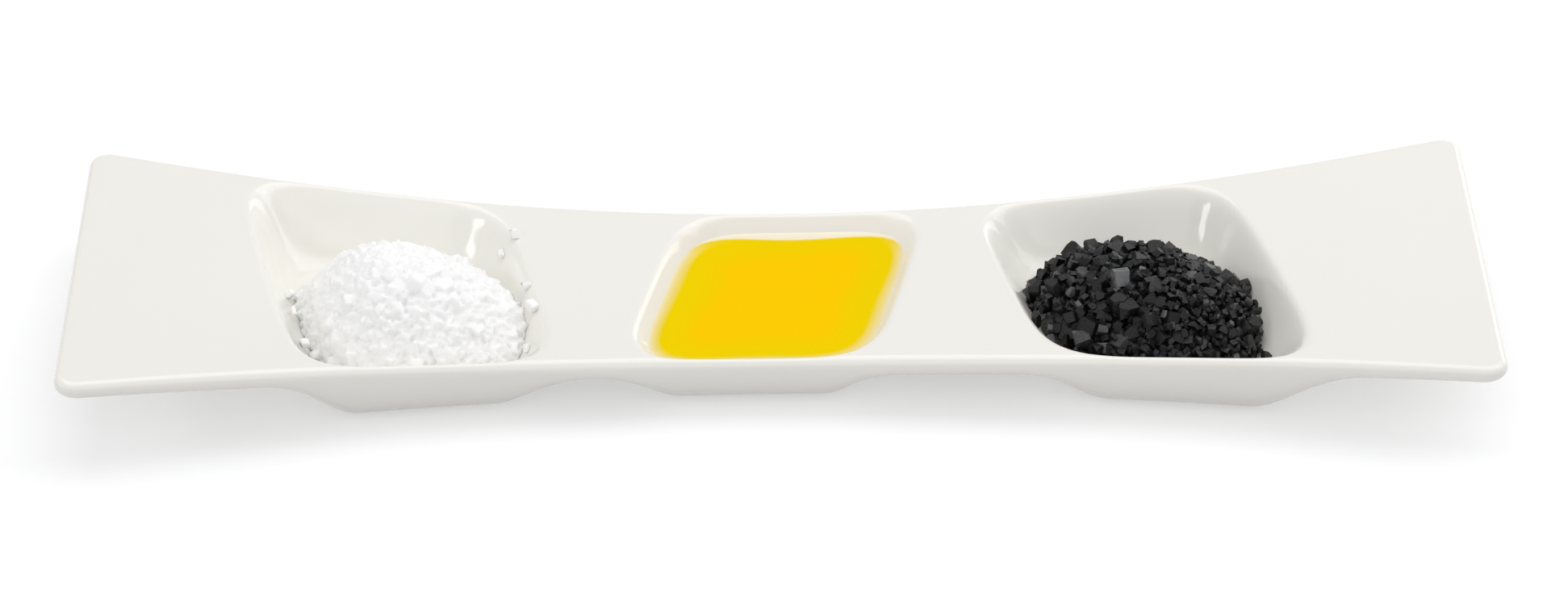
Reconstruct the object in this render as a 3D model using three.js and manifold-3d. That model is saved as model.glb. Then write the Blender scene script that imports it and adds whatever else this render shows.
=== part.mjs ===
// A long porcelain plate with three wells, served with coarse white salt, a pool of oil and coarse black salt.
// Millimetres, +Z up, X along the plate. The origin is on the table, under the middle of the plate.
import * as THREE from "three";
import { ConvexGeometry } from "three/addons/geometries/ConvexGeometry.js";
import { mergeGeometries, mergeVertices } from "three/addons/utils/BufferGeometryUtils.js";
import Module from "manifold-3d";

// Outline of the plate: a waist between two wide, raised ends
const PLATE_LENGTH = 320;
const END_WIDTH = 100;
const WAIST_WIDTH = 63;
const CORNER_RADIUS = 6;
const WAIST_RIM_HEIGHT = 14.5;
const END_RISE = 7.5;
const RISE_EASING = 0.33;
const WAIST_WALL = 5;
const END_WALL = 3.8;

// Wells: slanted rounded rectangles, the middle one slanted the other way
const LEFT_WELL_X = -86.2;
const MIDDLE_WELL_X = -0.4;
const RIGHT_WELL_X = 82;
const OUTER_WELL_LENGTH = 62.2;
const MIDDLE_WELL_LENGTH = 58.8;
const WELL_LEAN = THREE.MathUtils.degToRad(13);
const WELL_LIP = 1;
const LIP_ROUNDING = 1.2;
const WELL_FLOOR = 4.5;
const WELL_WALL_RUN = 9.5;
const WELL_END_SQUARENESS = 5;
const WELL_SIDE_SQUARENESS = 4.5;
const SHOULDER_EASING = 0.7;

// Bellies: the rounded undersides of the wells, each flat where it stands on the table
const FOOT_INSET = 12.7;
const OUTER_BELLY_MARGIN = 6.1;
const OUTER_BELLY_RUN = 22;
const MIDDLE_BELLY_MARGIN = 3.4;
const MIDDLE_BELLY_RUN = 17;

// What the wells hold
const SEAT_GAP = 0.5;
const OIL_BELOW_RIM = 3.8;
const HEAP_OFFSET_Y = -3.2;
const HEAP_WIDTH = 51;
const WHITE_HEAP_OFFSET_X = -2;
const WHITE_HEAP_LEFT = { half: 22, roundness: 2.1 };
const WHITE_HEAP_RIGHT = { half: 33, roundness: 2.4 };
const WHITE_HEAP_HEIGHT = 20;
const WHITE_GRAIN = 3.2;
const BLACK_HEAP_OFFSET_X = 0.7;
const BLACK_HEAP_LEFT = { half: 30, roundness: 3.1 };
const BLACK_HEAP_RIGHT = { half: 28.8, roundness: 2.6 };
const BLACK_HEAP_HEIGHT = 17;
const BLACK_GRAIN = 3.6;
const STUDS_PER_HEAP = 60;
const STUD_SPREAD = 0.86;
const WHITE_SEED = 11;
const BLACK_SEED = 23;

// A grain is a block, its sides given as shares of its size, with its corners knocked off by up to a share
const GRAIN_BREADTH = [0.7, 1];
const GRAIN_THICKNESS = [0.5, 0.9];
const GRAIN_WEAR = 0.45;

// Loose grains lie round the skirt of a heap, at these angles from +X
const WHITE_SKIRT_ANGLES = [158, 180, 204, 226, 8, -12, -34];
const BLACK_SKIRT_ANGLES = [204, 220, 238, -44, -58, -74];
const SKIRT_CLEARANCE = 0.4;
const SKIRT_GRAIN_REACH = 0.62;

// Two small grains lie by themselves on the far wall of the left well, placed from its middle
const STRAY_GRAIN = 2.2;
const STRAY_GRAINS = [
  { x: 25.6, y: 19.2 },
  { x: 22.6, y: 17.6 },
];

// Fineness of the surfaces
const RIM_LINES = 4;
const END_LINES = 32;
const END_SPREAD = 0.75;
const SIDE_LINES = 9;
const SIDE_SPREAD = 1.6;
const CONTENT_SPOKES = 32;
const CONTENT_RINGS = 6;
const BLANK_SINK = 1.5;
const REACH_LIMIT = 1.6;
const REACH_HALVINGS = 30;
const WELD = 1e-4;

const { lerp, smoothstep } = THREE.MathUtils;
const QUARTER_TURN = Math.PI / 2;
const GOLDEN_ANGLE = Math.PI * (3 - Math.sqrt(5));
const BLOCK_CORNERS = [-1, 1].flatMap((z) => [-1, 1].flatMap((y) => [-1, 1].map((x) => [x, y, z])));
const RANDOM_FACTOR = 1664525;
const RANDOM_STEP = 1013904223;

const wasm = await Module();
wasm.setup();

// Repeatable random numbers from 0 to 1.
function randomFrom(seed) {
  let state = seed;
  return () => {
    state = (Math.imul(state, RANDOM_FACTOR) + RANDOM_STEP) >>> 0;
    return state / 2 ** 32;
  };
}

// Shape of the plate along its length
const alongSquared = (x) => ((2 * x) / PLATE_LENGTH) ** 2;
const halfWidth = (x) => lerp(WAIST_WIDTH, END_WIDTH, alongSquared(x)) / 2;
const rimRadius = (x) => lerp(WAIST_WALL, END_WALL, alongSquared(x)) / 2;

function rimHeight(x) {
  const share = alongSquared(x);
  return WAIST_RIM_HEIGHT + END_RISE * share * (1 + RISE_EASING * (1 - share));
}

const OUTER_WELL = {
  half: OUTER_WELL_LENGTH / 2,
  lean: -Math.tan(WELL_LEAN),
  bellyMargin: OUTER_BELLY_MARGIN,
  bellyRun: OUTER_BELLY_RUN,
};
const WELLS = {
  left: { x: LEFT_WELL_X, ...OUTER_WELL },
  middle: {
    x: MIDDLE_WELL_X,
    half: MIDDLE_WELL_LENGTH / 2,
    lean: Math.tan(WELL_LEAN),
    bellyMargin: MIDDLE_BELLY_MARGIN,
    bellyRun: MIDDLE_BELLY_RUN,
  },
  right: { x: RIGHT_WELL_X, ...OUTER_WELL },
};

// Place along a well, from -1 at one end of its mouth to 1 at the other.
const alongWell = (well, x, y) => (x - well.x - well.lean * y) / well.half;

// 0 on the plate's face, 1 on the floor of a well.
function wellDepth(x, y) {
  const side = Math.abs(y) / (halfWidth(x) - WELL_LIP);
  let depth = 0;
  for (const well of Object.values(WELLS)) {
    const end = Math.abs(alongWell(well, x, y));
    const sum = end ** WELL_END_SQUARENESS + side ** WELL_SIDE_SQUARENESS;
    const inside = Math.max(1 - sum ** (1 / WELL_END_SQUARENESS), 0) * well.half;
    const pastLip = inside ** 2 / (inside + LIP_ROUNDING);
    const fall = Math.min(pastLip / WELL_WALL_RUN, 1) ** SHOULDER_EASING;
    depth = Math.max(depth, smoothstep(fall, 0, 1));
  }
  return depth;
}

// 0 under the plain slab, 1 under the middle of a well.
function bellyShare(x, y) {
  let share = 0;
  for (const well of Object.values(WELLS)) {
    const inside = (1 - Math.abs(alongWell(well, x, y))) * well.half + well.bellyMargin;
    share = Math.max(share, smoothstep(inside, 0, well.bellyRun));
  }
  return share;
}

// How far a quarter circle has risen at a distance from its start.
function roundRise(distance, radius) {
  const left = radius - Math.min(distance, radius);
  return Math.sqrt(radius ** 2 - left ** 2);
}

function upperHeight(x, y, edge) {
  const radius = rimRadius(x);
  const face = rimHeight(x) - radius + roundRise(edge, radius);
  return lerp(face, WELL_FLOOR, wellDepth(x, y));
}

function lowerHeight(x, y, edge) {
  const radius = rimRadius(x);
  const rimMiddle = rimHeight(x) - radius;
  const slab = rimMiddle - roundRise(edge, radius);
  const belly = rimMiddle * (1 - roundRise(edge, FOOT_INSET) / FOOT_INSET);
  return lerp(slab, belly, bellyShare(x, y));
}

// The plate's face at a place given without its distance from the edge.
function faceHeight(x, y) {
  const edge = Math.min(PLATE_LENGTH / 2 - Math.abs(x), halfWidth(x) - Math.abs(y));
  return upperHeight(x, y, Math.max(edge, 0));
}

// A grid of points, each placed from its two shares of the way across, facing up or down.
function sheet(columns, rows, place, facesUp) {
  const plane = new THREE.PlaneGeometry(1, 1, columns, rows);
  const shares = plane.getAttribute("uv");
  const points = plane.getAttribute("position");
  for (let i = 0; i < points.count; i++) {
    points.setXYZ(i, ...place(shares.getX(i), shares.getY(i)));
  }
  if (!facesUp) plane.setIndex([...plane.index.array].reverse());
  plane.deleteAttribute("normal");
  plane.deleteAttribute("uv");
  return plane;
}

// One closed skin from sheets that meet at their borders. Triangles that shrank to a line are left out.
function closedSkin(sheets) {
  const joined = mergeVertices(mergeGeometries(sheets), WELD);
  const kept = [];
  for (let i = 0; i < joined.index.count; i += 3) {
    const corners = [0, 1, 2].map((k) => joined.index.getX(i + k));
    if (new Set(corners).size === 3) kept.push(...corners);
  }
  return joined.setIndex(kept);
}

function solidOf(geometry) {
  const bare = geometry.clone();
  bare.deleteAttribute("normal");
  bare.deleteAttribute("uv");
  const merged = mergeVertices(bare, WELD);
  const vertProperties = new Float32Array(merged.getAttribute("position").array);
  const triVerts = new Uint32Array(merged.index.array);
  return new wasm.Manifold(new wasm.Mesh({ numProp: 3, vertProperties, triVerts }));
}

function geometryOf(solid) {
  const mesh = solid.getMesh();
  const geometry = new THREE.BufferGeometry();
  geometry.setAttribute("position", new THREE.BufferAttribute(mesh.vertProperties, 3));
  geometry.setIndex(new THREE.BufferAttribute(mesh.triVerts, 1));
  geometry.computeVertexNormals();
  return geometry;
}

// Distance from an edge of one grid line: close lines where the rim rounds over, wider ones to the middle.
function lineInset(line, half, radius, innerLines, spread) {
  if (line <= RIM_LINES) return radius * (1 - Math.cos((QUARTER_TURN * line) / RIM_LINES));
  return radius + (half - radius) * ((line - RIM_LINES) / innerLines) ** spread;
}

// Square distances from two edges, drawn in to a round corner.
function roundCorner(fromEnd, fromSide) {
  const p = 1 - fromEnd / CORNER_RADIUS;
  const q = 1 - fromSide / CORNER_RADIUS;
  if (p <= 0 || q <= 0) return [fromEnd, fromSide];
  const draw = Math.max(p, q) / Math.hypot(p, q);
  return [CORNER_RADIUS * (1 - p * draw), CORNER_RADIUS * (1 - q * draw)];
}

function plateGeometry() {
  const halfLength = PLATE_LENGTH / 2;
  const columns = 2 * (RIM_LINES + END_LINES);
  const rows = 2 * (RIM_LINES + SIDE_LINES);

  const placeWith = (height) => (columnShare, rowShare) => {
    const column = Math.round(columnShare * columns);
    const row = Math.round(rowShare * rows);
    const endLine = Math.min(column, columns - column);
    const end = lineInset(endLine, halfLength, END_WALL / 2, END_LINES, END_SPREAD);
    const squareX = halfLength - end;
    const sideLine = Math.min(row, rows - row);
    const side = lineInset(sideLine, halfWidth(squareX), rimRadius(squareX), SIDE_LINES, SIDE_SPREAD);
    const [fromEnd, fromSide] = roundCorner(end, side);
    const x = (halfLength - fromEnd) * Math.sign(column - columns / 2);
    const y = (halfWidth(x) - fromSide) * Math.sign(row - rows / 2);
    return [x, y, height(x, y, Math.min(end, side))];
  };
  return closedSkin([
    sheet(columns, rows, placeWith(upperHeight), true),
    sheet(columns, rows, placeWith(lowerHeight), false),
  ]);
}

// How far along a ray the top of a well's contents meets a level below the plate's face, by halving.
function reachOf(ray, below) {
  let inside = 0;
  let outside = REACH_LIMIT;
  for (let i = 0; i < REACH_HALVINGS; i++) {
    const middle = (inside + outside) / 2;
    const [x, y] = ray.place(middle);
    if (ray.top(middle) > faceHeight(x, y) - below) inside = middle;
    else outside = middle;
  }
  return inside;
}

// Contents before they are cut to the well: a top over an underside that is sunk in the porcelain.
function contentsBlank(rayAt) {
  const placeWith = (isTop) => (reachShare, turnShare) => {
    const ray = rayAt(2 * Math.PI * (turnShare % 1));
    const reach = reachShare * reachOf(ray, BLANK_SINK);
    const [x, y] = ray.place(reach);
    const sunk = faceHeight(x, y) - BLANK_SINK;
    return [x, y, isTop && reachShare < 1 ? ray.top(reach) : sunk];
  };
  return closedSkin([
    sheet(CONTENT_RINGS, CONTENT_SPOKES, placeWith(true), true),
    sheet(CONTENT_RINGS, CONTENT_SPOKES, placeWith(false), false),
  ]);
}

// A block with its corners knocked about, turned any way.
function grainGeometry(size, random) {
  const corners = [];
  const breadth = lerp(...GRAIN_BREADTH, random());
  const stretch = new THREE.Vector3(1, breadth, lerp(...GRAIN_THICKNESS, random()));
  for (const place of BLOCK_CORNERS) {
    const corner = new THREE.Vector3(...place);
    const worn = new THREE.Vector3(random(), random(), random()).multiplyScalar(GRAIN_WEAR);
    worn.multiply(corner);
    corners.push(corner.sub(worn).multiply(stretch).multiplyScalar(size / 2));
  }
  const turn = new THREE.Euler(...[0, 1, 2].map(() => 2 * Math.PI * random()));
  return new ConvexGeometry(corners.map((corner) => corner.applyEuler(turn)));
}

const plateSolid = solidOf(plateGeometry());
const seatCutter = plateSolid.translate([0, 0, SEAT_GAP]);

// The largest piece left of a solid once it is cut to sit just clear of the porcelain.
function seated(solid) {
  const pieces = solid.subtract(seatCutter).decompose();
  pieces.sort((a, b) => b.volume() - a.volume());
  return geometryOf(pieces[0]);
}

function namedMesh(name, geometry, material) {
  const mesh = new THREE.Mesh(geometry, material);
  mesh.name = name;
  return mesh;
}

function oilPool() {
  const well = WELLS.middle;
  const level = rimHeight(well.x) - OIL_BELOW_RIM;
  const rayAt = (turn) => ({
    place: (reach) => {
      const y = reach * Math.sin(turn) * (halfWidth(well.x) - WELL_LIP);
      return [well.x + well.lean * y + reach * Math.cos(turn) * well.half, y];
    },
    top: () => level,
  });
  return seated(solidOf(contentsBlank(rayAt)));
}

// A heap of salt, which leans with its well: its studded body and the loose grains round its skirt.
function saltHeap({ well, offsetX, left, right, height, grain, seed }) {
  const random = randomFrom(seed);
  const rayAt = (turn) => {
    const rightness = (1 + Math.cos(turn)) / 2;
    const half = lerp(left.half, right.half, rightness);
    const roundness = lerp(left.roundness, right.roundness, rightness);
    return {
      place: (reach) => {
        const y = HEAP_OFFSET_Y + (reach * Math.sin(turn) * HEAP_WIDTH) / 2;
        return [well.x + offsetX + well.lean * y + reach * Math.cos(turn) * half, y];
      },
      top: (reach) => WELL_FLOOR + height * (1 - reach ** roundness),
    };
  };

  const studs = [];
  for (let i = 0; i < STUDS_PER_HEAP; i++) {
    const ray = rayAt(i * GOLDEN_ANGLE);
    const share = STUD_SPREAD * Math.sqrt((i + 0.5) / STUDS_PER_HEAP);
    const reach = share * reachOf(ray, 0);
    const stud = grainGeometry(grain, random);
    stud.translate(...ray.place(reach), ray.top(reach));
    studs.push(solidOf(stud));
  }
  const body = wasm.Manifold.union([solidOf(contentsBlank(rayAt)), ...studs]);

  // A loose grain sits in the porcelain by as much as its base is then cut away.
  const grainAt = (x, y, size = grain) => {
    const loose = grainGeometry(size, random);
    loose.computeBoundingBox();
    loose.translate(x, y, faceHeight(x, y) - loose.boundingBox.min.z - SEAT_GAP);
    return seated(solidOf(loose));
  };
  const skirtGrain = (degrees) => {
    const turn = THREE.MathUtils.degToRad(degrees);
    const ray = rayAt(turn);
    const [footX, footY] = ray.place(reachOf(ray, 0));
    const out = grain * SKIRT_GRAIN_REACH + SKIRT_CLEARANCE;
    return grainAt(footX + out * Math.cos(turn), footY + out * Math.sin(turn));
  };
  return { heap: seated(body), grainAt, skirtGrain };
}

const porcelain = new THREE.MeshStandardMaterial({ color: 0xf1eee8, roughness: 0.15 });
const oil = new THREE.MeshStandardMaterial({ color: 0xf2c405, roughness: 0.05 });
const whiteSalt = new THREE.MeshStandardMaterial({ color: 0xf7f9fa, roughness: 0.35 });
const blackSalt = new THREE.MeshStandardMaterial({ color: 0x1b1b1d, roughness: 0.45 });

const plate = new THREE.Group();
plate.add(namedMesh("plate", geometryOf(plateSolid), porcelain));
plate.add(namedMesh("oil_pool", oilPool(), oil));

const white = saltHeap({
  well: WELLS.left,
  offsetX: WHITE_HEAP_OFFSET_X,
  left: WHITE_HEAP_LEFT,
  right: WHITE_HEAP_RIGHT,
  height: WHITE_HEAP_HEIGHT,
  grain: WHITE_GRAIN,
  seed: WHITE_SEED,
});
const whiteGrains = WHITE_SKIRT_ANGLES.map((degrees) => white.skirtGrain(degrees));
for (const { x, y } of STRAY_GRAINS) whiteGrains.push(white.grainAt(LEFT_WELL_X + x, y, STRAY_GRAIN));

const black = saltHeap({
  well: WELLS.right,
  offsetX: BLACK_HEAP_OFFSET_X,
  left: BLACK_HEAP_LEFT,
  right: BLACK_HEAP_RIGHT,
  height: BLACK_HEAP_HEIGHT,
  grain: BLACK_GRAIN,
  seed: BLACK_SEED,
});
const blackGrains = BLACK_SKIRT_ANGLES.map((degrees) => black.skirtGrain(degrees));

const whiteSaltGroup = new THREE.Group();
whiteSaltGroup.add(namedMesh("white_salt_heap", white.heap, whiteSalt));
whiteGrains.forEach((grain, i) => {
  whiteSaltGroup.add(namedMesh(`white_grain_${i + 1}`, grain, whiteSalt));
});

const blackSaltGroup = new THREE.Group();
blackSaltGroup.add(namedMesh("black_salt_heap", black.heap, blackSalt));
blackGrains.forEach((grain, i) => {
  blackSaltGroup.add(namedMesh(`black_grain_${i + 1}`, grain, blackSalt));
});

plate.add(whiteSaltGroup, blackSaltGroup);

export default plate;
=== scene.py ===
"""A waisted porcelain plate with three wells, serving white salt, oil and black salt, as a Blender add-on.

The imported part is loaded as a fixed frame, in metres, with +X along the plate and +Z up. Each operator
models one piece, or one group of like pieces, where the frame holds it.
"""

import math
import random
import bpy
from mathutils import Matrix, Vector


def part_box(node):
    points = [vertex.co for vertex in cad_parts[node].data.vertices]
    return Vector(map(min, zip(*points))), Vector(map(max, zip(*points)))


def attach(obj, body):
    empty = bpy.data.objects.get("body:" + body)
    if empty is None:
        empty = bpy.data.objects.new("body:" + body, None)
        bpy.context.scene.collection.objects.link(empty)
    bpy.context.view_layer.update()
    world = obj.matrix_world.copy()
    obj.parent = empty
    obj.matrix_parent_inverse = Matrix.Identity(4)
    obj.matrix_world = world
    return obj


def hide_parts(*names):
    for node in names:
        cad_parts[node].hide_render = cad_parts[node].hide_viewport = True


bl_info = {
    "name": "Cocktail Plate",
    "version": (1, 0, 0),
    "blender": (4, 5, 0),
    "location": "View3D > Sidebar > Plate",
    "description": "Models a porcelain plate with three wells, and the salts and oil that it serves",
    "category": "Object",
}

import bpy
from bpy.props import FloatProperty, FloatVectorProperty, IntProperty, PointerProperty
from mathutils import Euler, Matrix, Vector, noise

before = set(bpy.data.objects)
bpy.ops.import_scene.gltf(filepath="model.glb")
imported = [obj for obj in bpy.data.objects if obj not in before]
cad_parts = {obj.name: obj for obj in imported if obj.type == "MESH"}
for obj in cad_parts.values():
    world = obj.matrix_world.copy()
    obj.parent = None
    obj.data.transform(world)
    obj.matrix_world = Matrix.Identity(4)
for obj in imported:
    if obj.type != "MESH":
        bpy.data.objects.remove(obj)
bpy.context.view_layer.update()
PLATE_LOW, PLATE_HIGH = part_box("plate")

FULL_TURN = 2 * math.pi
MM = 0.001

# A search for where a surface meets the porcelain goes this far out, and halves its range this often.
REACH_LIMIT = 1.6
HALVINGS = 24


# Properties

def size(name, description, default):
    return FloatProperty(
        name=name, description=description, default=default, min=0, precision=5, unit="LENGTH"
    )


def place(name, description, default):
    return FloatProperty(name=name, description=description, default=default, precision=5, unit="LENGTH")


def number(name, description, default):
    return FloatProperty(name=name, description=description, default=default, min=0, precision=3)


def angle(name, description, default):
    return FloatProperty(
        name=name, description=description, default=math.radians(default), subtype="ANGLE"
    )


def colour(name, description, default):
    return FloatVectorProperty(
        name=name, description=description, default=default, size=3, min=0, max=1, subtype="COLOR"
    )


def count(name, description, default):
    return IntProperty(name=name, description=description, default=default, min=1)


class PlateSettings(bpy.types.PropertyGroup):
    """The porcelain: its outline, its rim and its glaze."""

    length: size("Length", "From end to end", PLATE_HIGH.x - PLATE_LOW.x)
    end_width: size("End width", "Across the ends, before their corners are rounded", 0.1)
    waist_width: size("Waist width", "Across the middle", 0.063)
    corner_radius: size("Corner radius", "Of the four corners, seen from above", 0.006)
    waist_height: size("Waist height", "Of the rim in the middle, above the table", 0.0145)
    end_rise: size("End rise", "How much higher the rim is at the ends", 0.0075)
    rise_easing: number("Rise easing", "How early the rim starts to rise towards the ends", 0.33)
    waist_wall: size("Waist wall", "Thickness of the rim in the middle", 0.005)
    end_wall: size("End wall", "Thickness of the rim at the ends", 0.0038)
    foot_inset: size("Foot inset", "From the rim to the flat foot under a well", 0.0127)
    glaze: colour("Glaze", "The glaze on the open faces", (0.87, 0.85, 0.8))
    thin_glaze: colour("Thin glaze", "The glaze where it ran thinner", (0.885, 0.868, 0.825))
    # In the wells: partly pooled glaze, partly painted shade and painted yellow bounce light.
    pooled_glaze_and_painted_shade: colour("Pooled glaze", "The glaze where it pooled in the wells", (0.86, 0.85, 0.785))
    biscuit: colour("Biscuit", "The bare foot under the wells", (0.66, 0.62, 0.56))


class WellSettings(bpy.types.PropertyGroup):
    """The three wells and the bellies under them."""

    left_x: place("Left well", "Middle of the left well, along the plate", -0.0862)
    middle_x: place("Middle well", "Middle of the middle well, along the plate", -0.0004)
    right_x: place("Right well", "Middle of the right well, along the plate", 0.082)
    outer_length: size("Outer length", "Of the mouths of the outer wells", 0.0622)
    middle_length: size("Middle length", "Of the mouth of the middle well", 0.0588)
    lean: angle("Lean", "Slant of the wells' ends, the other way on the middle one", 13)
    lip: size("Lip", "From the rim to the mouth of a well", 0.001)
    lip_rounding: size("Lip rounding", "How gently the face turns down into a well", 0.0012)
    floor: size("Floor", "Height of the floor of a well above the table", 0.0045)
    wall_run: size("Wall run", "Ground that a well's wall takes, past its lip", 0.0095)
    end_squareness: number("End squareness", "How square the mouth is along the plate", 5)
    side_squareness: number("Side squareness", "How square the mouth is across the plate", 4.5)
    shoulder_easing: number("Shoulder easing", "How quickly the face falls away into a well", 0.7)
    outer_belly_margin: size("Outer belly margin", "How far an outer belly passes its well", 0.0061)
    outer_belly_run: size("Outer belly run", "Ground that an outer belly's slope takes", 0.022)
    middle_belly_margin: size("Middle belly margin", "How far the middle belly passes its well", 0.0034)
    middle_belly_run: size("Middle belly run", "Ground that the middle belly's slope takes", 0.017)


class OilSettings(bpy.types.PropertyGroup):
    """The pool of oil in the middle well."""

    below_rim: size("Below rim", "From the rim down to the oil", 0.0035)
    meniscus: size("Meniscus", "How far the oil climbs at its edge", 0.0002)
    soak: size("Soak", "How far the oil reaches into the face of the glaze", 0.00018)
    # The oil's thin edge, and along the far shore also a painted reflection of the lamps.
    film_and_painted_reflection: colour("Film", "The oil's edge, where the glaze shows through it", (0.91, 0.84, 0.66))
    shallow: colour("Shallow", "The oil over the wall of the well", (0.86, 0.64, 0.001))
    deep: colour("Deep", "The oil over the floor of the well", (0.97, 0.595, 0.0005))
    film_run: size("Film run", "From the shore to where the oil hides the glaze", 0.0034)
    # The far shore's pale strip is a painted reflection of the lamps: its breadth in the middle, and the
    # ground over which it fades.
    far_reflection: size("Far film", "Breadth of the film in the middle of the far shore", 0.0027)
    far_reflection_fade: size("Far fade", "Ground over which that film ends", 0.0006)
    wall_run: size("Wall run", "From the shore to where the oil has its deepest colour", 0.013)


class WhiteSaltSettings(bpy.types.PropertyGroup):
    """The heap of white salt in the left well."""

    offset_x: place("Offset along", "From the middle of the well to that of the heap", -0.002)
    offset_y: place("Offset across", "From the middle of the well to that of the heap", -0.0032)
    left_half: size("Left half", "From the middle of the heap to its left end", 0.022)
    right_half: size("Right half", "From the middle of the heap to its right end", 0.033)
    width: size("Width", "Of the heap, across the plate", 0.051)
    height: size("Height", "Of the heap above the floor of the well", 0.0195)
    left_roundness: number("Left roundness", "How full the left shoulder of the heap is", 2.1)
    right_roundness: number("Right roundness", "How full the right shoulder of the heap is", 2.4)
    smallest: size("Smallest", "The smallest crystals", 0.0014)
    largest: size("Largest", "The largest crystals", 0.0042)
    sorting: number("Sorting", "How much coarser the left end is than the middle", 0.0)
    perched: number("Perched", "Share of the crystals that stand proud", 0.03)
    crown: number("Crown", "How much coarser the top is than the skirt", 0.5)
    crystals: count("Crystals", "How many crystals the heap shows", 1500)
    seed: count("Seed", "Changes how the crystals lie", 11)
    milky: colour("Milky", "Crystals with cloudy faces", (0.995, 0.999, 1.0))
    clear: colour("Clear", "Crystals that are nearly clear", (0.94, 0.943, 0.925))


class BlackSaltSettings(bpy.types.PropertyGroup):
    """The heap of black salt in the right well."""

    offset_x: place("Offset along", "From the middle of the well to that of the heap", 0.0007)
    offset_y: place("Offset across", "From the middle of the well to that of the heap", -0.0032)
    left_half: size("Left half", "From the middle of the heap to its left end", 0.0286)
    right_half: size("Right half", "From the middle of the heap to its right end", 0.0288)
    width: size("Width", "Of the heap, across the plate", 0.051)
    height: size("Height", "Of the heap above the floor of the well", 0.0158)
    left_roundness: number("Left roundness", "How full the left shoulder of the heap is", 3.1)
    right_roundness: number("Right roundness", "How full the right shoulder of the heap is", 2.6)
    smallest: size("Smallest", "The smallest crystals", 0.0016)
    largest: size("Largest", "The largest crystals", 0.0043)
    sorting: number("Sorting", "How much coarser the left end is than the middle", 0.2)
    perched: number("Perched", "Share of the crystals that stand proud", 0.1)
    crown: number("Crown", "How much coarser the top is than the skirt", 0.0)
    crystals: count("Crystals", "How many crystals the heap shows", 1050)
    seed: count("Seed", "Changes how the crystals lie", 23)
    dark: colour("Dark", "The darkest crystals", (0.0025, 0.0025, 0.0028))
    # The palest crystals: partly frosted grey, partly painted glints of the lamps.
    grey_and_glint: colour("Grey", "The palest crystals", (0.14, 0.143, 0.148))


class StageSettings(bpy.types.PropertyGroup):
    """The camera, the floor and the light."""

    distance: size("Distance", "From the camera to the point it looks at", 1.2568)
    elevation: angle("Elevation", "Of the camera above the table", 33.5)
    yaw: angle("Yaw", "Of the camera round the plate", 0.749)
    roll: angle("Roll", "Of the camera about its line of sight", -0.222)
    aim_x: place("Aim along", "Where the camera looks, along the plate", 0.00112)
    aim_z: place("Aim height", "Where the camera looks, above the table", 0.00996)
    lens: number("Lens", "Focal length in millimetres on a 36 mm sensor", 126.72)
    floor_size: size("Floor size", "Side of the square floor", 30)
    floor_gap: size("Floor gap", "From the feet down to the floor", 0.00002)
    floor: colour("Floor", "The floor as the light finds it", (0.7, 0.7, 0.71))
    paper: colour("Paper", "The floor as it is seen, where the plate shades it", (0.56, 0.563, 0.568))
    paper_glow: number("Paper glow", "What is added to the floor as it is seen, to make it white", 0.48)
    sky: number("Sky", "Strength of the light from all round", 0.55)
    flag_elevation: angle("Flag elevation", "Of the dark flag behind the plate", 34)
    flag_inner: angle("Flag inner", "From the middle of the flag to where it starts to fade", 11)
    flag_outer: angle("Flag outer", "From the middle of the flag to where it has faded away", 22)


class CocktailPlateSettings(bpy.types.PropertyGroup):
    """All that a user would change."""

    plate: PointerProperty(type=PlateSettings)
    wells: PointerProperty(type=WellSettings)
    oil: PointerProperty(type=OilSettings)
    white_salt: PointerProperty(type=WhiteSaltSettings)
    black_salt: PointerProperty(type=BlackSaltSettings)
    stage: PointerProperty(type=StageSettings)


# Shapes

def lerp(first, last, part):
    return first + (last - first) * part


def smoothstep(part):
    part = min(max(part, 0), 1)
    return part * part * (3 - 2 * part)


def round_rise(distance, radius):
    """How far a quarter circle has risen at a distance from its start."""
    left = radius - min(distance, radius)
    return math.sqrt(max(radius**2 - left**2, 0))


class Well:
    """One well: a slanted rounded rectangle with a belly under it."""

    def __init__(self, x, length, lean, belly_margin, belly_run):
        self.x = x
        self.half = length / 2
        self.lean = lean
        self.belly_margin = belly_margin
        self.belly_run = belly_run

    def along(self, x, y):
        """Place along the well, from 0 in its middle to 1 at either end of its mouth."""
        return abs(x - self.x - self.lean * y) / self.half


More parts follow.
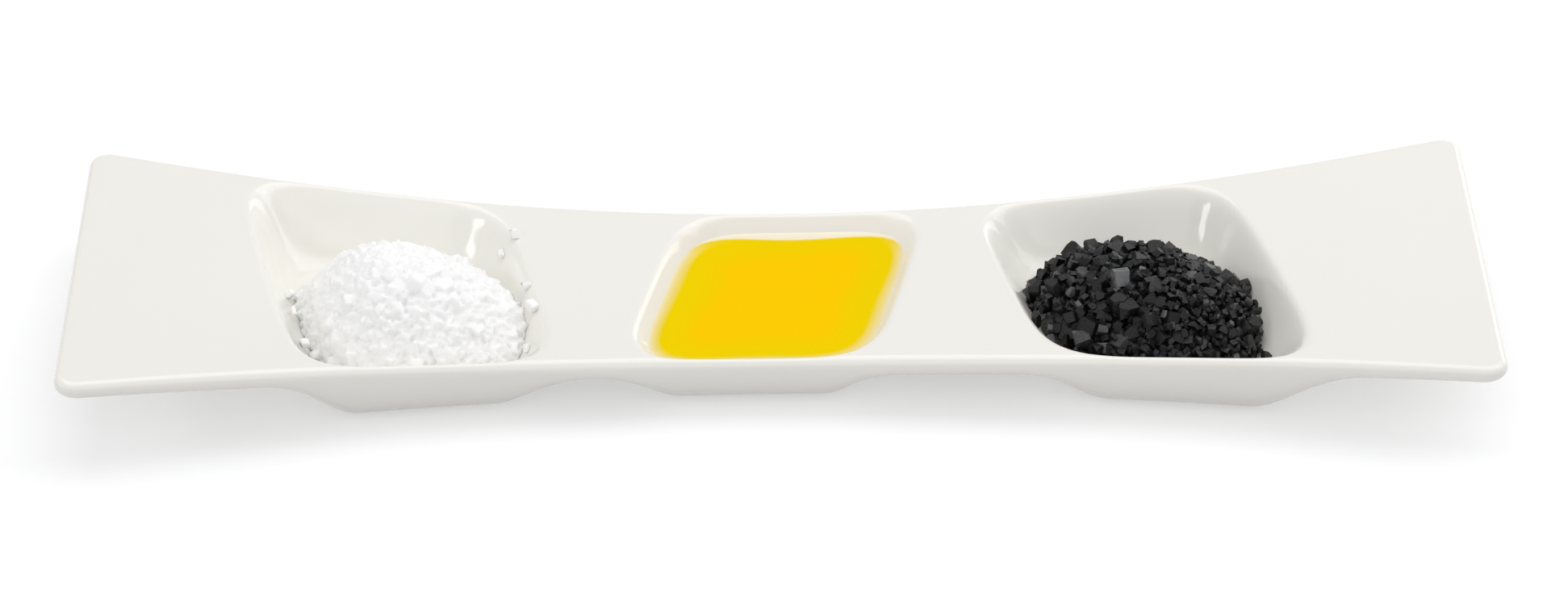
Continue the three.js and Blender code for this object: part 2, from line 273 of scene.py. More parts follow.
class PlateShape:
    """The plate's two faces, as heights over the table worked out from the settings."""

    def __init__(self, settings):
        plate, wells = settings.plate, settings.wells
        self.half_length = plate.length / 2
        self.end_width, self.waist_width = plate.end_width, plate.waist_width
        self.corner_radius = plate.corner_radius
        self.waist_height, self.end_rise = plate.waist_height, plate.end_rise
        self.rise_easing = plate.rise_easing
        self.waist_wall, self.end_wall = plate.waist_wall, plate.end_wall
        self.foot_inset = plate.foot_inset
        self.lip, self.lip_rounding = wells.lip, wells.lip_rounding
        self.floor, self.wall_run = wells.floor, wells.wall_run
        self.end_squareness, self.side_squareness = wells.end_squareness, wells.side_squareness
        self.shoulder_easing = wells.shoulder_easing
        lean = math.tan(wells.lean)
        outer = (wells.outer_length, -lean, wells.outer_belly_margin, wells.outer_belly_run)
        middle = (wells.middle_length, lean, wells.middle_belly_margin, wells.middle_belly_run)
        self.left = Well(wells.left_x, *outer)
        self.middle = Well(wells.middle_x, *middle)
        self.right = Well(wells.right_x, *outer)
        self.wells = (self.left, self.middle, self.right)

    def out(self, x):
        """0 at the waist, 1 at the ends."""
        return (x / self.half_length) ** 2

    def half_width(self, x):
        return lerp(self.waist_width, self.end_width, self.out(x)) / 2

    def rim_radius(self, x):
        return lerp(self.waist_wall, self.end_wall, self.out(x)) / 2

    def rim_height(self, x):
        out = self.out(x)
        return self.waist_height + self.end_rise * out * (1 + self.rise_easing * (1 - out))

    def well_depth(self, x, y):
        """0 on the open face, 1 on the floor of a well."""
        side = abs(y) / (self.half_width(x) - self.lip)
        depth = 0
        for well in self.wells:
            spread = well.along(x, y) ** self.end_squareness + side**self.side_squareness
            inside = (1 - spread ** (1 / self.end_squareness)) * well.half
            if inside > 0:
                past_lip = inside**2 / (inside + self.lip_rounding)
                depth = max(depth, smoothstep(min(past_lip / self.wall_run, 1) ** self.shoulder_easing))
        return depth

    def belly_share(self, x, y):
        """0 under the plain slab, 1 under the middle of a well."""
        most = 0
        for well in self.wells:
            inside = (1 - well.along(x, y)) * well.half + well.belly_margin
            most = max(most, smoothstep(inside / well.belly_run))
        return most

    def upper(self, x, y, edge):
        radius = self.rim_radius(x)
        face = self.rim_height(x) - radius + round_rise(edge, radius)
        return lerp(face, self.floor, self.well_depth(x, y))

    def lower(self, x, y, edge):
        radius = self.rim_radius(x)
        middle = self.rim_height(x) - radius
        slab = middle - round_rise(edge, radius)
        belly = middle * (1 - round_rise(edge, self.foot_inset) / self.foot_inset)
        return lerp(slab, belly, self.belly_share(x, y))

    def face(self, x, y):
        """The upper face at a place given without its distance from the edge."""
        edge = min(self.half_length - abs(x), self.half_width(x) - abs(y))
        return self.upper(x, y, max(edge, 0))

    def round_corner(self, from_end, from_side):
        """Square distances from two edges, drawn in to a round corner."""
        p = 1 - from_end / self.corner_radius
        q = 1 - from_side / self.corner_radius
        if p <= 0 or q <= 0:
            return from_end, from_side
        draw = max(p, q) / math.hypot(p, q)
        return self.corner_radius * (1 - p * draw), self.corner_radius * (1 - q * draw)


# The plate's grid: lines over each rounded rim, and from there to its middle, with how they spread.
RIM_LINES = 8
END_LINES = 200
END_SPREAD = 0.9
SIDE_LINES = 36
SIDE_SPREAD = 1.15


def line_inset(line, half, radius, inner_lines, spread):
    """Distance from an edge of one grid line: close lines where the rim rounds over, wider ones inside."""
    if line <= RIM_LINES:
        return radius * (1 - math.cos(math.pi / 2 * line / RIM_LINES))
    return radius + (half - radius) * ((line - RIM_LINES) / inner_lines) ** spread


def sign(value):
    return (value > 0) - (value < 0)


class Heap:
    """A heap of salt, leaning with its well: a mound that falls off from its middle to its skirt."""

    TURNS = 96
    TURN_STEPS = 4

    def __init__(self, shape, well, settings):
        self.shape = shape
        self.lean = well.lean
        self.centre = Vector((well.x + settings.offset_x, settings.offset_y))
        self.halves = (settings.left_half, settings.right_half)
        self.half_width = settings.width / 2
        self.height = settings.height
        self.heart = Vector((self.centre.x + self.lean * self.centre.y, self.centre.y, shape.floor))
        self.roundness = (settings.left_roundness, settings.right_roundness)
        self.skirt = [self.find_limit(FULL_TURN * i / self.TURNS, 0) for i in range(self.TURNS)]

    def point(self, reach, turn):
        half = lerp(*self.halves, (1 + math.cos(turn)) / 2)
        y = self.centre.y + reach * math.sin(turn) * self.half_width
        return self.centre.x + self.lean * y + reach * math.cos(turn) * half, y

    def top(self, reach, turn):
        roundness = lerp(*self.roundness, (1 + math.cos(turn)) / 2)
        return self.shape.floor + self.height * (1 - reach**roundness)

    def find_limit(self, turn, sink):
        """How far out the mound, lowered by sink, comes down to the porcelain."""
        inside, outside = 0, REACH_LIMIT
        for _ in range(HALVINGS):
            middle = (inside + outside) / 2
            if self.top(middle, turn) - sink > self.shape.face(*self.point(middle, turn)):
                inside = middle
            else:
                outside = middle
        return inside

    def out(self, x, y):
        """How far out a place is: 0 in the middle of the heap, 1 at its skirt."""
        across = (y - self.centre.y) / self.half_width
        along = x - self.centre.x - self.lean * y
        half = lerp(*self.halves, 0.5)
        for _ in range(self.TURN_STEPS):
            turn = math.atan2(across, along / half)
            half = lerp(*self.halves, (1 + math.cos(turn)) / 2)
        return math.hypot(across, along / half) / self.limit(turn)

    def limit(self, turn):
        """How far out the skirt of the heap is, read between the turns that were worked out."""
        step = (turn % FULL_TURN) / FULL_TURN * self.TURNS
        first = int(step) % self.TURNS
        return lerp(self.skirt[first], self.skirt[(first + 1) % self.TURNS], step - int(step))


# Modelling

WELD = 0.001 * MM
BODY_CREASE = math.radians(50)
FUSED_CREASE = math.radians(35)


def deselect_all():
    bpy.ops.object.select_all(action="DESELECT")


def edit(action):
    """Runs one action on the whole active mesh in edit mode."""
    bpy.ops.object.mode_set(mode="EDIT")
    bpy.ops.mesh.select_all(action="SELECT")
    action()
    bpy.ops.object.mode_set(mode="OBJECT")


def store(mesh, name, domain, values):
    """Keeps one number for each point or face of a mesh, for its material to read."""
    mesh.attributes.new(name, "FLOAT", domain).data.foreach_set("value", values)


def finish_piece(piece, material, body, nodes):
    """Gives a piece its material and its body, and hides the nodes that it stands for."""
    piece.data.materials.clear()
    piece.data.materials.append(material)
    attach(piece, body)
    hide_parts(*nodes)


def add_ball(name, spokes, rings, upper, lower):
    """Adds a closed body from a ball: its upper half is placed by upper and its lower half by lower.

    Both take the share of the way from the pole to the rim, and the turn, and give a place.
    """
    deselect_all()
    bpy.ops.mesh.primitive_uv_sphere_add(segments=spokes, ring_count=2 * rings, radius=1)
    body = bpy.context.object
    body.name = name
    for point in body.data.vertices:
        turn = math.atan2(point.co.y, point.co.x) % FULL_TURN
        out = math.acos(min(abs(point.co.z), 1)) / (math.pi / 2)
        point.co = upper(out, turn) if point.co.z > 0 else lower(out, turn)
    edit(lambda: bpy.ops.mesh.normals_make_consistent(inside=False))
    bpy.ops.object.shade_smooth_by_angle(angle=BODY_CREASE)
    return body


def add_plate(shape):
    """Adds the plate: a grid placed on its upper face, and extruded to its lower face."""
    columns = 2 * (RIM_LINES + END_LINES)
    rows = 2 * (RIM_LINES + SIDE_LINES)
    deselect_all()
    bpy.ops.mesh.primitive_grid_add(x_subdivisions=columns, y_subdivisions=rows, size=1)
    plate = bpy.context.object
    plate.name = "glazed_plate"
    edit(lambda: bpy.ops.mesh.extrude_region_move(TRANSFORM_OT_translate={"value": (0, 0, -1)}))

    depths = []
    for point in plate.data.vertices:
        column = round((point.co.x + 0.5) * columns)
        row = round((point.co.y + 0.5) * rows)
        end_line = min(column, columns - column)
        end = line_inset(end_line, shape.half_length, shape.end_wall / 2, END_LINES, END_SPREAD)
        square_x = shape.half_length - end
        half_width, radius = shape.half_width(square_x), shape.rim_radius(square_x)
        side = line_inset(min(row, rows - row), half_width, radius, SIDE_LINES, SIDE_SPREAD)
        from_end, from_side = shape.round_corner(end, side)
        x = (shape.half_length - from_end) * sign(column - columns / 2)
        y = (shape.half_width(x) - from_side) * sign(row - rows / 2)
        is_upper = point.co.z > -0.5
        height = shape.upper if is_upper else shape.lower
        depths.append(shape.well_depth(x, y) if is_upper else 0)
        point.co = (x, y, height(x, y, min(end, side)))
    store(plate.data, "well_depth", "POINT", depths)
    edit(lambda: bpy.ops.mesh.remove_doubles(threshold=WELD))
    edit(lambda: bpy.ops.mesh.normals_make_consistent(inside=False))
    bpy.ops.object.shade_smooth()
    return plate


def add_oil(shape, settings):
    """Adds the oil: level across the well, climbing a little where it meets the porcelain.

    It keeps how far each point is from the shore, and how well the oil hides the glaze there: more and more
    along the near shore. Along the far shore it keeps a painted reflection of the lamps instead, a
    lens-shaped pale strip, past which the oil hides the glaze all at once.
    """
    spokes, rings, climb_power = 192, 72, 22
    cover_power, far_reflection_end = 0.6, 0.82
    far_start, far_run = 0.55, 0.25
    well = shape.middle
    half_width = shape.half_width(well.x) - shape.lip
    level = shape.rim_height(well.x) - settings.below_rim

    def spot(reach, turn):
        y = reach * math.sin(turn) * half_width
        return well.x + well.lean * y + reach * math.cos(turn) * well.half, y

    def find_shore(turn):
        inside, outside = 0, REACH_LIMIT
        for _ in range(HALVINGS):
            middle = (inside + outside) / 2
            if shape.face(*spot(middle, turn)) - settings.soak < level + settings.meniscus:
                inside = middle
            else:
                outside = middle
        return inside

    shores = [find_shore(FULL_TURN * i / spokes) for i in range(spokes)]

    def shore(turn):
        return shores[round(turn / FULL_TURN * spokes) % spokes]

    def top(out, turn):
        x, y = spot(out * shore(turn), turn)
        return x, y, level + settings.meniscus * out**climb_power

    def bed(out, turn):
        x, y = spot(out * shore(turn), turn)
        return x, y, shape.face(x, y) - settings.soak

    oil = add_ball("oil", spokes, rings, top, bed)
    insets, covers_and_reflections = [], []
    for point in oil.data.vertices:
        x, y = point.co.x - well.x - well.lean * point.co.y, point.co.y
        turn = math.atan2(y / half_width, x / well.half)
        at_shore = Vector(spot(shore(turn), turn))
        inset = (at_shore - Vector((point.co.x, y))).length
        insets.append(inset)
        gentle = min(inset / settings.film_run, 1) ** cover_power
        # Painted reflection: along the far shore a lens-shaped pale strip, broadest in the middle, keeps
        # the shore colour.
        reflection_breadth = settings.far_reflection * (1 - (x / (far_reflection_end * well.half)) ** 2)
        past_reflection = smoothstep((inset - reflection_breadth) / settings.far_reflection_fade)
        far = smoothstep((y / half_width - far_start) / far_run)
        covers_and_reflections.append(lerp(gentle, past_reflection, far))
    store(oil.data, "from_shore", "POINT", insets)
    store(oil.data, "cover", "POINT", covers_and_reflections)
    return oil


BLOCK_KINDS = 12
BLOCK_WIDTHS = (0.65, 1)
BLOCK_HEIGHTS = (0.5, 0.9)
CHIP_DEPTHS = (0.62, 0.9)


def add_blocks(draw, chips, bevel=0):
    """Models a few chipped blocks, each about one unit across, to be copied as crystals."""
    blocks = []
    for _ in range(BLOCK_KINDS):
        deselect_all()
        bpy.ops.mesh.primitive_cube_add(size=1)
        block = bpy.context.object
        sides = Vector((1, draw.uniform(*BLOCK_WIDTHS), draw.uniform(*BLOCK_HEIGHTS)))
        block.data.transform(Matrix.Diagonal(sides.to_4d()))
        for _ in range(chips):
            way = Vector((draw.gauss(0, 1), draw.gauss(0, 1), draw.gauss(0, 1))).normalized()
            reach = sum(abs(a * b) for a, b in zip(way, sides)) / 2
            chip = way * reach * draw.uniform(*CHIP_DEPTHS)
            edit(lambda: bpy.ops.mesh.bisect(plane_co=chip, plane_no=way, use_fill=True, clear_outer=True))
        if bevel:
            edit(lambda: bpy.ops.mesh.bevel(offset=bevel, segments=1, affect="EDGES"))
        edit(lambda: bpy.ops.mesh.normals_make_consistent(inside=False))
        blocks.append(block)
    return blocks


def copy_block(block, matrix):
    """A copy of a block with its own mesh, placed in that mesh."""
    copy = block.copy()
    copy.data = block.data.copy()
    copy.data.transform(matrix)
    bpy.context.scene.collection.objects.link(copy)
    return copy


def remove_blocks(blocks):
    for block in blocks:
        bpy.data.meshes.remove(block.data)


def any_turn(draw):
    return Euler([draw.uniform(0, FULL_TURN) for _ in range(3)]).to_matrix().to_4x4()


class Crowd:
    """Crystals set down so far, in cells, to find those near a place."""

    def __init__(self, cell):
        self.cell = cell
        self.cells = {}

    def key(self, spot):
        return tuple(math.floor(a / self.cell) for a in spot)

    def has_room(self, spot, width, closeness):
        i, j, k = self.key(spot)
        for a in (i - 1, i, i + 1):
            for b in (j - 1, j, j + 1):
                for c in (k - 1, k, k + 1):
                    for other, other_width in self.cells.get((a, b, c), ()):
                        if (spot - other).length < closeness * (width + other_width) / 2:
                            return False
        return True

    def add(self, spot, width):
        self.cells.setdefault(self.key(spot), []).append((spot, width))


# In widths of a crystal: how deep one that stands proud sits, and how high one that lies on the porcelain.
PERCH = -0.1
REST_HEIGHT = 0.36
TRIES_PER_CRYSTAL = 60
CROWN_EDGE = 0.6


def scatter(heap, settings, draw, closeness, past_skirt, sinks):
    """Places for the crystals of a heap, each a spot, a width and how far out it lies."""
    crowd = Crowd(settings.largest)
    places = []
    tries_left = TRIES_PER_CRYSTAL * settings.crystals
    while len(places) < settings.crystals and tries_left:
        tries_left -= 1
        turn = draw.uniform(0, FULL_TURN)
        out = math.sqrt(draw.random()) * past_skirt
        width = lerp(settings.smallest, settings.largest, draw.random() ** 2)
        width *= 1 - settings.sorting * out * math.cos(turn)
        width *= 1 + settings.crown * (CROWN_EDGE - out)
        reach = out * heap.limit(turn)
        spot = Vector((*heap.point(reach, turn), heap.top(reach, turn)))
        sink = PERCH if draw.random() < settings.perched else draw.uniform(*sinks)
        spot -= (spot - heap.heart).normalized() * width * sink
        spot.z = max(spot.z, heap.shape.face(spot.x, spot.y) + REST_HEIGHT * width)
        if crowd.has_room(spot, width, closeness):
            crowd.add(spot, width)
            places.append((spot, width, out))
    return places


CLEAR_START = 0.62
CLEAR_RUN = 0.3
CLEAR_SPREAD = 0.3
FUSED_CLEAR_START = 0.6
FUSED_CLEAR_RUN = 0.4


def clarity_at(out, draw):
    """How clear a single crystal is: more so towards the skirt of its heap."""
    spread = draw.uniform(-CLEAR_SPREAD, CLEAR_SPREAD)
    return min(max((out - CLEAR_START) / CLEAR_RUN + spread, 0), 1)


def add_heap(name, heap, settings, chips, closeness, past_skirt, sinks, core_sink):
    """Adds a heap: a lumpy core under a crowd of crystals, joined into one piece."""
    spokes, rings, lump, lump_size = 64, 20, 0.5 * MM, 3 * MM
    gap = 0.05 * MM
    draw = random.Random(settings.seed)
    limits = {}

    def reach_at(out, turn):
        if turn not in limits:
            limits[turn] = heap.find_limit(turn, core_sink)
        return out * limits[turn]

    def top(out, turn):
        reach = reach_at(out, turn)
        x, y = heap.point(reach, turn)
        height = heap.top(reach, turn) - core_sink
        height += lump * (1 - out) * noise.noise(Vector((x, y, height)) / lump_size)
        return x, y, max(height, heap.shape.face(x, y) + gap)

    def bed(out, turn):
        x, y = heap.point(reach_at(out, turn), turn)
        return x, y, heap.shape.face(x, y) + gap

    core = add_ball(name, spokes, rings, top, bed)
    store(core.data, "tone", "FACE", [0.5] * len(core.data.polygons))
    store(core.data, "clarity", "FACE", [0.0] * len(core.data.polygons))
    blocks = add_blocks(draw, chips)
    copies = []
    for spot, width, out in scatter(heap, settings, draw, closeness, past_skirt, sinks):
        matrix = Matrix.Translation(spot) @ any_turn(draw) @ Matrix.Scale(width, 4)
        copy = copy_block(draw.choice(blocks), matrix)
        faces = len(copy.data.polygons)
        store(copy.data, "tone", "FACE", [draw.random()] * faces)
        store(copy.data, "clarity", "FACE", [clarity_at(out, draw)] * faces)
        copies.append(copy)
    remove_blocks(blocks)
    deselect_all()
    for copy in copies:
        copy.select_set(True)
    core.select_set(True)
    bpy.context.view_layer.objects.active = core
    bpy.ops.object.join()
    return core


def fuse(piece, heap, voxel):
    """Grows the crystals of a heap together, so that light can wander from one into the next."""
    modifier = piece.modifiers.new("fuse", "REMESH")
    modifier.mode = "VOXEL"
    modifier.voxel_size = voxel
    bpy.context.view_layer.objects.active = piece
    bpy.ops.object.modifier_apply(modifier=modifier.name)
    outs = [heap.out(point.co.x, point.co.y) for point in piece.data.vertices]
    clarities = [smoothstep((out - FUSED_CLEAR_START) / FUSED_CLEAR_RUN) for out in outs]
    store(piece.data, "clarity", "POINT", clarities)
    bpy.ops.object.shade_smooth_by_angle(angle=FUSED_CREASE)


def add_loose_grain(name, block, node, draw):
    """Adds one loose crystal, turned any way and fitted to the box of the node that it stands for."""
    low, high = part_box(node)
    grain = copy_block(block, any_turn(draw))
    grain.name = name
    corners = [point.co for point in grain.data.vertices]
    lowest = Vector([min(co[i] for co in corners) for i in range(3)])
    highest = Vector([max(co[i] for co in corners) for i in range(3)])
    fit = Vector([(high[i] - low[i]) / (highest[i] - lowest[i]) for i in range(3)])
    grain.data.transform(Matrix.Translation(-(lowest + highest) / 2))
    grain.data.transform(Matrix.Diagonal(fit.to_4d()))
    grain.data.transform(Matrix.Translation((low + high) / 2))
    faces = len(grain.data.polygons)
    store(grain.data, "tone", "FACE", [draw.random()] * faces)
    store(grain.data, "clarity", "FACE", [clarity_at(1.0, draw)] * faces)
    return grain


def add_loose_grains(prefix, node_prefix, settings, chips, bevel=0):
    """Adds a crystal for each loose grain of the frame, as pairs of the piece and its node."""
    draw = random.Random(settings.seed + 1)
    blocks = add_blocks(draw, chips, bevel)
    nodes = sorted(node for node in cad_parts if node.startswith(node_prefix))
    pairs = []
    for node in nodes:
        name = prefix + node.removeprefix(node_prefix)
        pairs.append((add_loose_grain(name, draw.choice(blocks), node, draw), node))
    remove_blocks(blocks)
    return pairs


# Materials

class Signal:
    """A number on its way through a shader. Arithmetic on it adds Math nodes."""

    def __init__(self, shader, socket):
        self.shader = shader
        self.socket = socket

    def math(self, operation, first, second=0.0):
        return self.shader.add("ShaderNodeMath", {"operation": operation}, {0: first, 1: second})

    def __add__(self, other):
        return self.math("ADD", self, other)

    __radd__ = __add__

    def __sub__(self, other):
        return self.math("SUBTRACT", self, other)

    def __rsub__(self, other):
        return self.math("SUBTRACT", other, self)

    def __mul__(self, other):
        return self.math("MULTIPLY", self, other)

    __rmul__ = __mul__

    def __truediv__(self, other):
        return self.math("DIVIDE", self, other)

    def __pow__(self, other):
        return self.math("POWER", self, other)

    def clamped(self):
        return self.shader.add("ShaderNodeClamp", values={"Value": self})


class Shader:
    """A node tree that is written as expressions."""

    def __init__(self, tree):
        self.tree = tree
        tree.nodes.clear()

    def add(self, kind, settings=None, values=None, output=0):
        """Adds a node, sets its settings and then its sockets, and gives one of its outputs."""
        node = self.tree.nodes.new(kind)
        for name, setting in (settings or {}).items():
            setattr(node, name, setting)
        for key, value in (values or {}).items():
            if isinstance(value, Signal):
                self.tree.links.new(value.socket, node.inputs[key])
            else:
                node.inputs[key].default_value = value
        return Signal(self, node.outputs[output]) if node.outputs else None

    def is_shown(self):
        """1 where the camera sees a surface, also in a mirror or through glass, 0 where light finds it."""
        seen = self.add("ShaderNodeLightPath", output="Is Camera Ray")
        mirrored = self.add("ShaderNodeLightPath", output="Is Glossy Ray")
        through = self.add("ShaderNodeLightPath", output="Is Transmission Ray")
        return (seen + mirrored + through).clamped()

    def place(self):
        return self.add("ShaderNodeTexCoord", output="Object")

    def height(self):
        return self.add("ShaderNodeSeparateXYZ", values={0: self.place()}, output="Z")

    def attribute(self, name):
        return self.add("ShaderNodeAttribute", {"attribute_name": name}, output="Fac")

    def clouds(self, size, detail=2.0):
        """Soft noise from 0 to 1, with features of about a size."""
        values = {"Vector": self.place(), "Scale": 1 / size, "Detail": detail}
        return self.add("ShaderNodeTexNoise", values=values)

    def mix(self, part, first, last):
        colours = {6: opaque(first), 7: opaque(last)}
        return self.add("ShaderNodeMix", {"data_type": "RGBA"}, {0: part, **colours}, output=2)

    def bump(self, height, depth, strength=1.0):
        values = {"Height": height, "Distance": depth, "Strength": strength}
        return self.add("ShaderNodeBump", values=values)

    def surface(self, values):
        made = self.add("ShaderNodeBsdfPrincipled", values=values)
        self.add("ShaderNodeOutputMaterial", values={"Surface": made})


def opaque(colour_value):
    """A colour with its alpha, or a colour on its way through a shader as it is."""
    return colour_value if isinstance(colour_value, Signal) else (*colour_value, 1.0)


def new_material(name):
    material = bpy.data.materials.new(name)
    material.use_nodes = True
    return material, Shader(material.node_tree)


def glaze_material(settings):
    """Glossy warm white glaze, tinted a little darker and yellower in the wells, partly where it pools and
    partly as painted shade and painted yellow bounce light, with a bare foot.
    """
    pooled, foot_height = 0.8, 0.5 * MM
    material, shader = new_material("porcelain_glaze")
    thin = shader.clouds(45 * MM)
    face = shader.mix(thin, settings.glaze, settings.thin_glaze)
    # The well tint, as deep as the well goes: partly pooled glaze, partly painted shade and painted yellow
    # bounce light.
    glazed = shader.mix(shader.attribute("well_depth") * pooled, face, settings.pooled_glaze_and_painted_shade)
    grit = shader.clouds(0.6 * MM, 4.0)
    bare = (1 - shader.height() / foot_height).clamped()
    bare = (bare * (0.7 + grit)).clamped()
    ripple = shader.clouds(7 * MM, 1.0)
    shader.surface({
        "Base Color": shader.mix(bare, glazed, settings.biscuit),
        "Roughness": 0.07 + 0.06 * shader.clouds(20 * MM) + 0.5 * bare,
        "Normal": shader.bump(ripple + grit * bare, 0.02 * MM, 0.5),
        "IOR": 1.5,
        "Specular IOR Level": 0.5,
    })
    return material


def oil_material(settings):
    """Golden oil: the deeper it is, the more it hides the glaze under it, with a painted reflection of the
    lamps in its pale shore colour along the far shore.
    """
    material, shader = new_material("golden_oil")
    inset = shader.attribute("from_shore")
    swirl = shader.clouds(30 * MM, 1.0)
    deep = (inset / settings.wall_run + 0.5 * (swirl - 0.5)).clamped() ** 2
    thick = shader.mix(deep, settings.shallow, settings.deep)
    shader.surface({
        # The shore colour is the oil's thin edge, and along the far shore a painted reflection of the
        # lamps.
        "Base Color": shader.mix(shader.attribute("cover"), settings.film_and_painted_reflection, thick),
        "Roughness": 0.02 + 0.02 * swirl,
        "IOR": 1.47,
    })
    return material


def white_salt_material(name, settings, wander):
    """Milky crystals, a little warmer towards the skirt of the heap, in which light wanders some way."""
    material, shader = new_material(name)
    clarity = shader.attribute("clarity")
    frost = shader.clouds(0.9 * MM, 3.0)
    shader.surface({
        "Base Color": shader.mix(clarity, settings.milky, settings.clear),
        "Roughness": 0.22 + 0.3 * frost,
        "Subsurface Weight": 1.0,
        "Subsurface Radius": (1.0, 1.0, 1.0),
        "Subsurface Scale": wander,
        "Normal": shader.bump(frost, 0.05 * MM, 0.25),
        "IOR": 1.54,
    })
    return material


def black_salt_material(settings):
    """Charcoal black crystals, a few of them paler, partly as frosted grey crystals and partly as painted
    glints, with smoother and rougher ones among them.
    """
    pale_and_glint_rarity = 14
    material, shader = new_material("black_salt")
    tone = shader.attribute("tone")
    pits = shader.clouds(0.5 * MM, 3.0)
    mottle = shader.clouds(1.6 * MM, 2.0)
    # Paler crystals: partly frosted grey, partly painted glints of the lamps.
    pale_and_glint = (tone**pale_and_glint_rarity * (0.3 + 1.4 * mottle)).clamped()
    shader.surface({
        "Base Color": shader.mix(pale_and_glint, settings.dark, settings.grey_and_glint),
        "Roughness": (0.55 - 0.3 * tone + 0.3 * (pits - 0.5)).clamped(),
        "Normal": shader.bump(pits, 0.25 * MM, 0.7),
        "IOR": 1.5,
        "Specular IOR Level": 0.42,
    })
    return material


# Stage

# Each lamp's name, azimuth and elevation in degrees, distance, width and height in metres, and radiance.
SOFTBOXES = (
    ("top_box", 5, 71, 0.85, 1.0, 0.8, 1.34),
    ("key_box", 75, 45, 1.2, 0.6, 0.6, 1.6),
    ("front_box", 180, 40, 1.5, 1.7, 0.9, 0.65),
    ("left_strip", -105, 30, 1.0, 0.26, 0.16, 6),
    ("right_back_box", 42, 18, 1.2, 0.75, 0.4, 1.8),
)


def softbox(name, azimuth, elevation, distance, width, height, radiance):
    """Adds a rectangular lamp that faces the plate, placed round it from straight behind towards +X."""
    lamp = bpy.data.lights.new(name, "AREA")
    lamp.shape = "RECTANGLE"
    lamp.size = width
    lamp.size_y = height
    lamp.energy = radiance * math.pi * width * height
    box = bpy.data.objects.new(name, lamp)
    bpy.context.scene.collection.objects.link(box)
    way = direction(math.radians(azimuth), math.radians(elevation))
    box.location = way * distance
    box.rotation_euler = way.to_track_quat("Z", "Y").to_euler()


def add_camera(settings):
    back = -settings.distance * math.cos(settings.elevation)
    cos, sin = math.cos(settings.yaw), math.sin(settings.yaw)
    x = settings.aim_x * cos + back * sin
    y = -settings.aim_x * sin + back * cos
    z = settings.aim_z + settings.distance * math.sin(settings.elevation)
    turn = Matrix.Rotation(-settings.yaw, 4, "Z")
    tilt = Matrix.Rotation(math.pi / 2 - settings.elevation, 4, "X")
    roll = Matrix.Rotation(settings.roll, 4, "Z")
    camera = bpy.data.objects.new("camera", bpy.data.cameras.new("camera"))
    camera.data.lens = settings.lens
    camera.matrix_world = Matrix.Translation((x, y, z)) @ turn @ tilt @ roll
    bpy.context.scene.collection.objects.link(camera)
    bpy.context.scene.camera = camera


def add_floor(settings):
    deselect_all()
    bpy.ops.mesh.primitive_plane_add(size=settings.floor_size, location=(0, 0, -settings.floor_gap))
    floor = bpy.context.object
    floor.name = "floor"
    material, shader = new_material("floor")
    shown = shader.is_shown()
    shader.surface({
        "Base Color": shader.mix(shown, settings.floor, settings.paper),
        "Roughness": 0.9,
        "Specular IOR Level": 0.0,
        "Emission Color": shader.mix(shown, (0, 0, 0), (1, 1, 1)),
        "Emission Strength": settings.paper_glow,
    })
    floor.data.materials.append(material)


def direction(azimuth, elevation):
    """The way to a place round the plate, its azimuth taken from straight behind towards +X."""
    level = math.cos(elevation)
    return Vector((math.sin(azimuth) * level, math.cos(azimuth) * level, math.sin(elevation)))


def add_sky(settings):
    """White all round, with a dark flag behind the plate, so that level glaze and oil mirror no glare."""
    flag_darkness = 0.97
    world = bpy.data.worlds.new("sky")
    bpy.context.scene.world = world
    world.use_nodes = True
    shader = Shader(world.node_tree)
    way = shader.add("ShaderNodeTexCoord", output="Generated")
    flag = direction(0, settings.flag_elevation)
    sides = {0: way, 1: flag}
    near = shader.add("ShaderNodeVectorMath", {"operation": "DOT_PRODUCT"}, sides, output="Value")
    inner, outer = math.cos(settings.flag_inner), math.cos(settings.flag_outer)
    dark = ((near - outer) / (inner - outer)).clamped()
    strength = settings.sky * (1 - flag_darkness * dark)
    sky = shader.add("ShaderNodeBackground", values={"Color": (1, 1, 1, 1), "Strength": strength})
    shader.add("ShaderNodeOutputWorld", values={"Surface": sky})


# Operators

class MakePlate(bpy.types.Operator):
    """Model the glazed plate"""

    bl_idname = "cocktail_plate.make_plate"
    bl_label = "Plate"

    def execute(self, context):
        settings = context.scene.cocktail_plate
        plate = add_plate(PlateShape(settings))
        finish_piece(plate, glaze_material(settings.plate), "plate", ["plate"])
        return {"FINISHED"}


class MakeOil(bpy.types.Operator):
    """Model the pool of oil in the middle well"""

    bl_idname = "cocktail_plate.make_oil"
    bl_label = "Oil"

    def execute(self, context):
        settings = context.scene.cocktail_plate
        oil = add_oil(PlateShape(settings), settings.oil)
        finish_piece(oil, oil_material(settings.oil), "oil", ["oil_pool"])
        return {"FINISHED"}


class MakeWhiteSalt(bpy.types.Operator):
    """Model the heap of white salt and the crystals that lie loose round it"""

    bl_idname = "cocktail_plate.make_white_salt"
    bl_label = "White salt"

    def execute(self, context):
        settings = context.scene.cocktail_plate
        salt = settings.white_salt
        shape = PlateShape(settings)
        heaped = white_salt_material("white_salt", salt, wander=2.4 * MM)
        loose = white_salt_material("loose_white_salt", salt, wander=0.3 * MM)
        heap = Heap(shape, shape.left, salt)
        piece = add_heap(
            "white_salt", heap, salt,
            chips=5, closeness=0.6, past_skirt=1.02, sinks=(0.1, 0.4), core_sink=0.5 * MM,
        )
        fuse(piece, heap, voxel=0.32 * MM)
        finish_piece(piece, heaped, "white_salt", ["white_salt_heap"])
        grains = add_loose_grains("white_loose_grain_", "white_grain_", salt, chips=4, bevel=0.1)
        for grain, node in grains:
            finish_piece(grain, loose, "white_salt", [node])
        return {"FINISHED"}


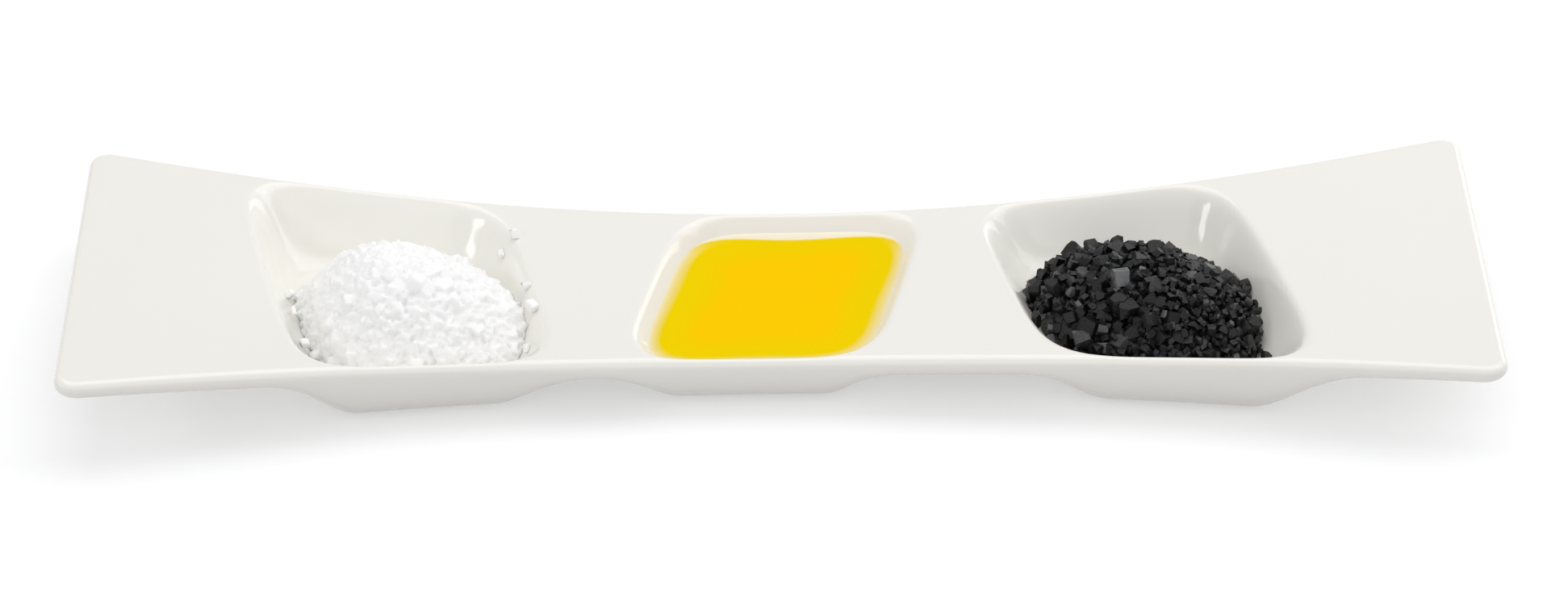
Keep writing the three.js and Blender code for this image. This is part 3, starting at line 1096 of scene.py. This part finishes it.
class MakeBlackSalt(bpy.types.Operator):
    """Model the heap of black salt and the crystals that lie loose round it"""

    bl_idname = "cocktail_plate.make_black_salt"
    bl_label = "Black salt"

    def execute(self, context):
        settings = context.scene.cocktail_plate
        salt = settings.black_salt
        shape = PlateShape(settings)
        material = black_salt_material(salt)
        piece = add_heap(
            "black_salt", Heap(shape, shape.right, salt), salt,
            chips=7, closeness=0.62, past_skirt=1.0, sinks=(0.1, 0.8), core_sink=2.4 * MM,
        )
        finish_piece(piece, material, "black_salt", ["black_salt_heap"])
        grains = add_loose_grains("black_loose_grain_", "black_grain_", salt, chips=7)
        for grain, node in grains:
            finish_piece(grain, material, "black_salt", [node])
        return {"FINISHED"}


class MakeStage(bpy.types.Operator):
    """Set the camera, the floor and the light"""

    bl_idname = "cocktail_plate.make_stage"
    bl_label = "Stage"

    def execute(self, context):
        settings = context.scene.cocktail_plate.stage
        add_camera(settings)
        add_floor(settings)
        add_sky(settings)
        for lamp in SOFTBOXES:
            softbox(*lamp)
        context.scene.view_settings.view_transform = "Standard"
        return {"FINISHED"}


class PlatePanel(bpy.types.Panel):
    """The plate's settings and the pieces that are made from them"""

    bl_idname = "VIEW3D_PT_cocktail_plate"
    bl_label = "Cocktail Plate"
    bl_space_type = "VIEW_3D"
    bl_region_type = "UI"
    bl_category = "Plate"

    def draw(self, context):
        settings = context.scene.cocktail_plate
        for operator, group in PANEL_ROWS:
            box = self.layout.box()
            box.operator(operator.bl_idname)
            for name in group:
                part = getattr(settings, name)
                for key in part.__annotations__:
                    box.prop(part, key)


PANEL_ROWS = (
    (MakePlate, ("plate", "wells")),
    (MakeOil, ("oil",)),
    (MakeWhiteSalt, ("white_salt",)),
    (MakeBlackSalt, ("black_salt",)),
    (MakeStage, ("stage",)),
)

CLASSES = (
    PlateSettings,
    WellSettings,
    OilSettings,
    WhiteSaltSettings,
    BlackSaltSettings,
    StageSettings,
    CocktailPlateSettings,
    MakePlate,
    MakeOil,
    MakeWhiteSalt,
    MakeBlackSalt,
    MakeStage,
    PlatePanel,
)


def register():
    for cls in CLASSES:
        bpy.utils.register_class(cls)
    bpy.types.Scene.cocktail_plate = PointerProperty(type=CocktailPlateSettings)


def unregister():
    del bpy.types.Scene.cocktail_plate
    for cls in reversed(CLASSES):
        bpy.utils.unregister_class(cls)


def main():
    register()
    bpy.ops.cocktail_plate.make_stage()
    bpy.ops.cocktail_plate.make_plate()
    bpy.ops.cocktail_plate.make_oil()
    bpy.ops.cocktail_plate.make_white_salt()
    bpy.ops.cocktail_plate.make_black_salt()


if __name__ == "__main__":
    main()
